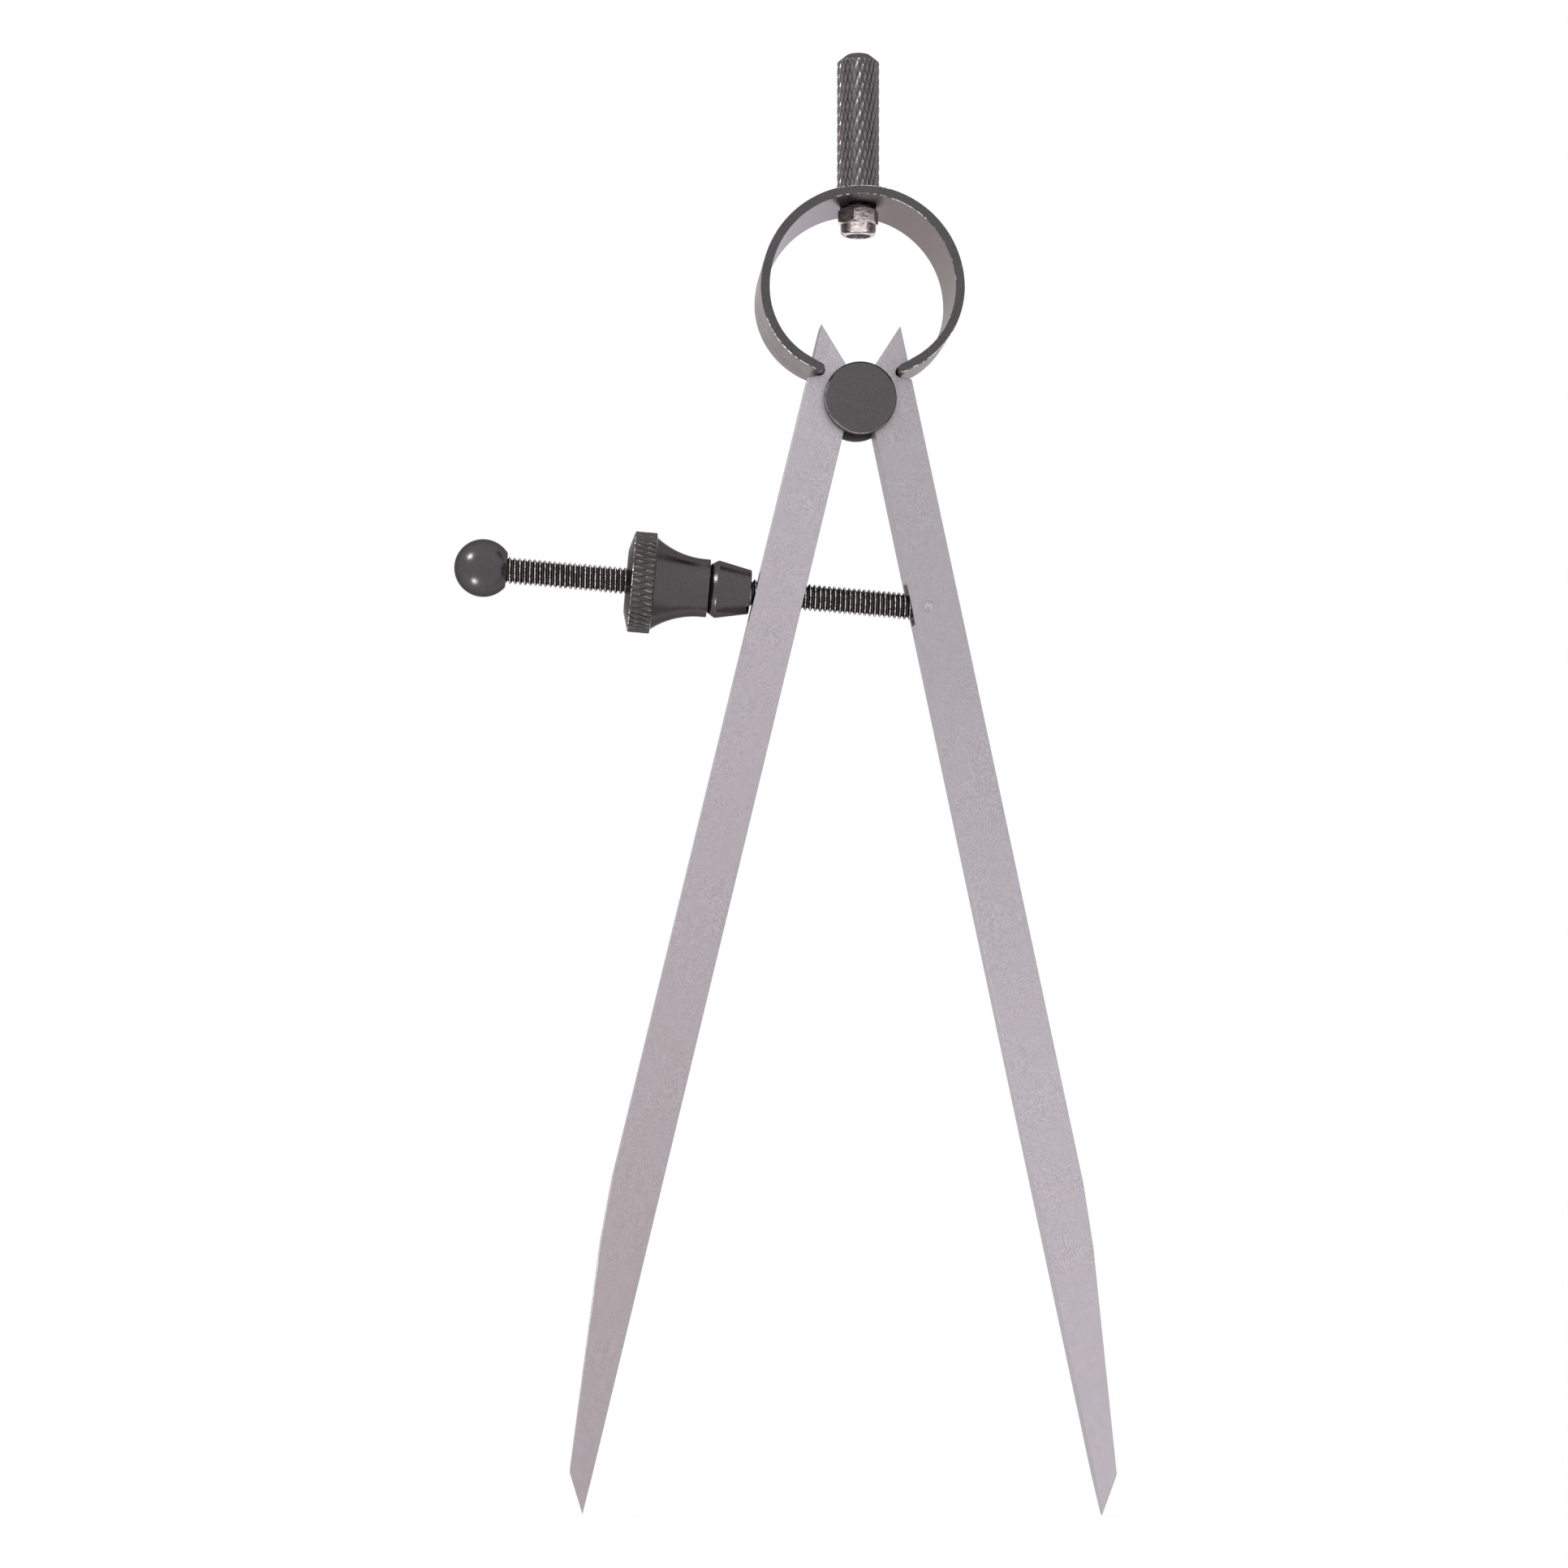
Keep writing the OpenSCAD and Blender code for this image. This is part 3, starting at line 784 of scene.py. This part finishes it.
# the painted highlight on the rim lies beyond a slanting line: its slant, and its share of the
# radius
HIGHLIGHT_SLANT = 0.6
HIGHLIGHT_FROM = 0.3

disc_side = rounded([
    (CORE_R, 0, 0, PLAIN), (CORE_R, DISC_FROM, 0, PLAIN),
    (DISC_R, DISC_FROM, DISC_BACK_ROUND, PLAIN),
    (DISC_R, DISC_TO - DISC_CHAMFER, DISC_WORN_ROUND, PLAIN),
    (DISC_R - DISC_CHAMFER, DISC_TO, DISC_FACE_ROUND, PLAIN), (0, DISC_TO, 0, PLAIN)])
spool = turned(flipped(disc_side) + disc_side[1:], DISC_AROUND)
for face in spool.faces:
    # painted highlight: the worn rim is made bright along its lower edge and to the left
    middle = face.calc_center_median()
    if face.material_index == WORN and HIGHLIGHT_SLANT * middle.x < middle.y - HIGHLIGHT_FROM * DISC_R:
        face.material_index = RUBBED_AND_HIGHLIGHT
spool = add_piece("fulcrum_spool_turned", spool, on_spool,
                  (black_disc, worn_edge, disc_painted_highlight), sharp=30)
declare(spool, "fulcrum_spool", "bow")


# Legs and swivel pin

LEG_EASE = 0.07
NEAR_PIN = 1.2
PIN_END = LEG_T / 2 - 0.02
PIN_ROUND = 0.06
PIN_AROUND = 64


def near_pin(point):
    away = point - at_fulcrum(PIN_X, 0, PIN_Z)
    return math.hypot(away.x, away.z) < NEAR_PIN * PIN_R * MM


for side, leg_steel in (("left", left_steel), ("right", right_steel)):
    leg = from_cad(f"{side}_leg_ground", f"{side}_leg", (leg_steel, leg_edge), LEG_EASE,
                   leave=near_pin)
    declare(leg, f"{side}_leg", f"{side}_leg")

pin_side = rounded([(PIN_R, 0, 0, PLAIN), (PIN_R, PIN_END, PIN_ROUND, PLAIN),
                    (0, PIN_END, 0, PLAIN)])
pin = turned(flipped(pin_side) + pin_side[1:], PIN_AROUND)
pin = add_piece("swivel_pin_end", pin, on_pin, (pin_steel,), sharp=40)
declare(pin, "swivel_pin", "right_leg")


# Screw and ball

THREAD_PITCH = 0.66
THREAD_DEPTH = 0.4
THREAD_AROUND = 40
THREAD_IN = 0.02
# turns drawn before the thread's start, and more than its length in all
TURNS_BEFORE = 2
TURNS_MORE = 3
# along the pitch, depth from crest to root, and kind of the stretch that follows
THREAD_FORM = ((0.0, 0.0, WORN), (0.16, 0.0, WORN), (0.23, 0.2, PLAIN),
               (0.52, 1.0, PLAIN), (0.64, 1.0, PLAIN), (0.93, 0.2, WORN))
EYE_EASE = 0.05
BALL_STEPS = 48
TURNED_AROUND = 128


def threaded(start, end):
    """A right-hand thread about the Z axis, cut off square at two heights."""
    bm = bmesh.new()
    rows = []
    turns = math.ceil((end - start) / THREAD_PITCH) + TURNS_MORE
    for k in range(turns * THREAD_AROUND + 1):
        climb = start + THREAD_PITCH * (k / THREAD_AROUND - TURNS_BEFORE)
        angle = TURN * k / THREAD_AROUND
        rows.append([
            bm.verts.new(polar(SCREW_R - THREAD_IN - THREAD_DEPTH * depth, angle,
                               climb + share * THREAD_PITCH))
            for share, depth, _ in THREAD_FORM])
    for k in range(len(rows) - THREAD_AROUND - 1):
        here = rows[k] + rows[k + THREAD_AROUND][:1]
        ahead = rows[k + 1] + rows[k + THREAD_AROUND + 1][:1]
        for j, (_, _, kind) in enumerate(THREAD_FORM):
            face = bm.faces.new((here[j], here[j + 1], ahead[j + 1], ahead[j]))
            face.material_index = kind
    bmesh.ops.edgeloop_fill(bm, edges=plane_cut(bm, (0, 0, start), UP, before=True))
    bmesh.ops.edgeloop_fill(bm, edges=plane_cut(bm, (0, 0, end), UP, beyond=True))
    return bm


thread = add_piece("screw_thread", threaded(EYE_END, SCREW_END), on_screw,
                   (black_screw, worn_crest), sharp=40)
declare(thread, "adjusting_screw", "screw")
eye = from_cad("screw_eye", "adjusting_screw", (black_screw,), EYE_EASE,
               keep=(on_screw(0, 0, EYE_END), on_screw(0, 0, 1) - on_screw(0, 0, 0)))
declare(eye, "adjusting_screw", "screw")

ball_foot = BALL_AT - BALL_FLAT
flat_angle = math.acos(-BALL_FLAT / BALL_R)
ball_profile = [(0, ball_foot + BALL_BORE, PLAIN), (SCREW_R, ball_foot + BALL_BORE, PLAIN),
                (SCREW_R, ball_foot, PLAIN)]
for k in range(BALL_STEPS + 1):
    a = flat_angle * (1 - k / BALL_STEPS)
    ball_profile.append((BALL_R * math.sin(a), BALL_AT + BALL_R * math.cos(a), PLAIN))
ball = add_piece("ball_stop_turned", turned(ball_profile, TURNED_AROUND), on_screw,
                 (black_turned,), sharp=30)
declare(ball, "ball_stop", "screw")


# Cone washer and thumb nut

FOOT_ROUND = 0.1
CONE_ROUND = 0.2
LIP_WORN_ROUND = -0.1
RIM_STARTS = 48
RIM_DIAMOND = 3.2
RIM_SHIFT = 0.5
RIM_DEPTH = 0.14
RIM_TIERS = ((0.90, 0.84, 0.2, GROOVE), (0.58, 0.16, 1.0, FLANK))
RIM_EASE = 0.1
FLARE_STEPS = 24
NECK_ROUND = 0.1
FACE_ROUND = 0.2

washer_to = WASHER_AT + WASHER_L
washer_profile = rounded([
    (WASHER_BORE_R, WASHER_AT, 0, PLAIN), (WASHER_FOOT_R, WASHER_AT, FOOT_ROUND, PLAIN),
    (WASHER_R, washer_to - WASHER_LIP, CONE_ROUND, PLAIN),
    (WASHER_FACE_R, washer_to, LIP_WORN_ROUND, PLAIN),
    (WASHER_BORE_R, washer_to, 0, PLAIN), (WASHER_BORE_R, WASHER_AT, 0, PLAIN)])
washer = add_piece("thrust_washer_turned", turned(washer_profile, TURNED_AROUND), on_screw,
                   (black_turned, worn_edge), sharp=30)
declare(washer, "thrust_washer", "washer")

rim_at = NUT_AT + NECK_L
rim_to = rim_at + RIM_W
rim_root = RIM_R - RIM_DEPTH
flare_at = NUT_AT + NECK_END
face_at = rim_to + FACE_H

nut, nut_low, nut_high = knurled(
    RIM_R, RIM_DEPTH, RIM_STARTS, RIM_DIAMOND, rim_at + RIM_EASE, rim_to - RIM_EASE, RIM_TIERS,
    RIM_SHIFT)
flare = []
for k in range(FLARE_STEPS + 1):
    z = (NECK_L - NECK_END) * (1 - k / FLARE_STEPS)
    radius = NECK_R + FLARE_R - math.sqrt(FLARE_R ** 2 - z ** 2)
    flare.append((min(radius, rim_root), flare_at + z, TURNED if k else CORNER))
neck_ring = draw_rings(nut, *nut_low, flare + rounded([
    (NECK_R, flare_at, 0, TURNED), (NECK_R, NUT_AT, NECK_ROUND, TURNED),
    (NUT_BORE_R, NUT_AT, 0, TURNED)])[1:])
face_ring = draw_rings(nut, *nut_high, [(rim_root, rim_to, CORNER)] + rounded([
    (rim_root, rim_to, 0, TURNED), (FACE_R, face_at, FACE_ROUND, TURNED),
    (NUT_BORE_R, face_at, 0, TURNED)])[1:])
join_rings(nut, neck_ring, face_ring, TURNED)
nut = add_piece("adjusting_nut_turned", nut, on_screw,
                (black_rim, rim_top, black_turned, rim_groove_painted_shade, rubbed_rim), sharp=20)
declare(nut, "adjusting_nut", "nut")


# Floor and light

FLOOR_GLOW = 0.93
FLOOR_PAPER = (0.9, 0.9, 0.9, 1)
FLOOR_HALF = 1500
FLOOR_BELOW = 0.2

# place and aim in metres, width in metres and power in watts
LAMPS = {
    "key_left": ((-0.44, -0.2, 0.27), (-0.01, 0, -0.03), 0.16, 1.0),
    "low_left": ((-0.107, -0.042, -0.152), (-0.049, 0, -0.058), 0.03, 0.042),
}


def studio_mix(tree, plain, seen):
    """Shows one shader to camera, glossy and transmission rays, and another to the rest."""
    path = tree.nodes.new("ShaderNodeLightPath")
    share = path.outputs["Is Camera Ray"]
    for kind in ("Is Glossy Ray", "Is Transmission Ray"):
        either = tree.nodes.new("ShaderNodeMath")
        either.operation = "MAXIMUM"
        tree.links.new(share, either.inputs[0])
        tree.links.new(path.outputs[kind], either.inputs[1])
        share = either.outputs[0]
    return mixed(tree, plain, seen, share)


def mixed(tree, plain, seen, share):
    """A mix of two shaders by a share, which is a number or a node's output."""
    mix = tree.nodes.new("ShaderNodeMixShader")
    if isinstance(share, float):
        mix.inputs["Fac"].default_value = share
    else:
        tree.links.new(share, mix.inputs["Fac"])
    tree.links.new(plain.outputs[0], mix.inputs[1])
    tree.links.new(seen.outputs[0], mix.inputs[2])
    return mix


def soft_lamp(name, place, aim, size, power):
    data = bpy.data.lights.new(name, "AREA")
    data.shape = "DISK"
    data.size = size
    data.energy = power
    lamp = bpy.data.objects.new(name, data)
    bpy.context.scene.collection.objects.link(lamp)
    lamp.location = place
    lamp.rotation_euler = (Vector(aim) - Vector(place)).to_track_quat("-Z", "Y").to_euler()
    lamp.visible_camera = False


world = bpy.data.worlds.new("studio")
bpy.context.scene.world = world
world.use_nodes = True
world_tree = world.node_tree
world_tree.nodes.clear()
white = world_tree.nodes.new("ShaderNodeBackground")
white.inputs["Color"].default_value = (1, 1, 1, 1)
white.inputs["Strength"].default_value = 1.0
world_out = world_tree.nodes.new("ShaderNodeOutputWorld")
world_tree.links.new(white.outputs[0], world_out.inputs["Surface"])

floor_mat = bpy.data.materials.new("floor")
floor_mat.use_nodes = True
floor_tree = floor_mat.node_tree
floor_tree.nodes.clear()
paper = floor_tree.nodes.new("ShaderNodeBsdfDiffuse")
paper.inputs["Color"].default_value = FLOOR_PAPER
glow = floor_tree.nodes.new("ShaderNodeEmission")
glow.inputs["Strength"].default_value = 1.0
lit_paper = mixed(floor_tree, paper, glow, FLOOR_GLOW)
floor_out = floor_tree.nodes.new("ShaderNodeOutputMaterial")
floor_tree.links.new(studio_mix(floor_tree, paper, lit_paper).outputs[0],
                     floor_out.inputs["Surface"])

floor_z = cad_box[0].z / MM + GRIP_MID - FLOOR_BELOW
floor_bm = bmesh.new()
floor_bm.faces.new([floor_bm.verts.new((x * FLOOR_HALF, y * FLOOR_HALF, floor_z))
                    for x, y in ((-1, -1), (1, -1), (1, 1), (-1, 1))])
add_piece("floor", floor_bm, at_fulcrum, (floor_mat,), sharp=30)

for lamp_name, settings in LAMPS.items():
    soft_lamp(lamp_name, *settings)


# Camera

CAMERA_AT = (-38.222, -430.112, -68.078)
CAMERA_TURN = Vector((-0.04033, -0.06607, 0.00254))
PHOTO_WIDTH = 1932
FOCAL_PIXELS = 4038.37
SENSOR_WIDTH = 36

camera_data = bpy.data.cameras.new("camera")
camera_data.sensor_width = SENSOR_WIDTH
camera_data.lens = SENSOR_WIDTH * (FOCAL_PIXELS / PHOTO_WIDTH)
camera_data.clip_start, camera_data.clip_end = 0.01, 20
camera = bpy.data.objects.new("camera", camera_data)
bpy.context.scene.collection.objects.link(camera)
# rows: right, down and forward of a camera that looks along +Y, then turned by the small rotation
level = Matrix(((1, 0, 0), (0, 0, -1), (0, 1, 0)))
turned_axes = Matrix.Rotation(CAMERA_TURN.length, 3, CAMERA_TURN.normalized()) @ level
axes = Matrix((turned_axes[0], -turned_axes[1], -turned_axes[2])).transposed()
camera.matrix_world = Matrix.Translation(at_fulcrum(*CAMERA_AT)) @ axes.to_4x4()
bpy.context.scene.camera = camera
bpy.context.scene.view_settings.view_transform = "Standard"
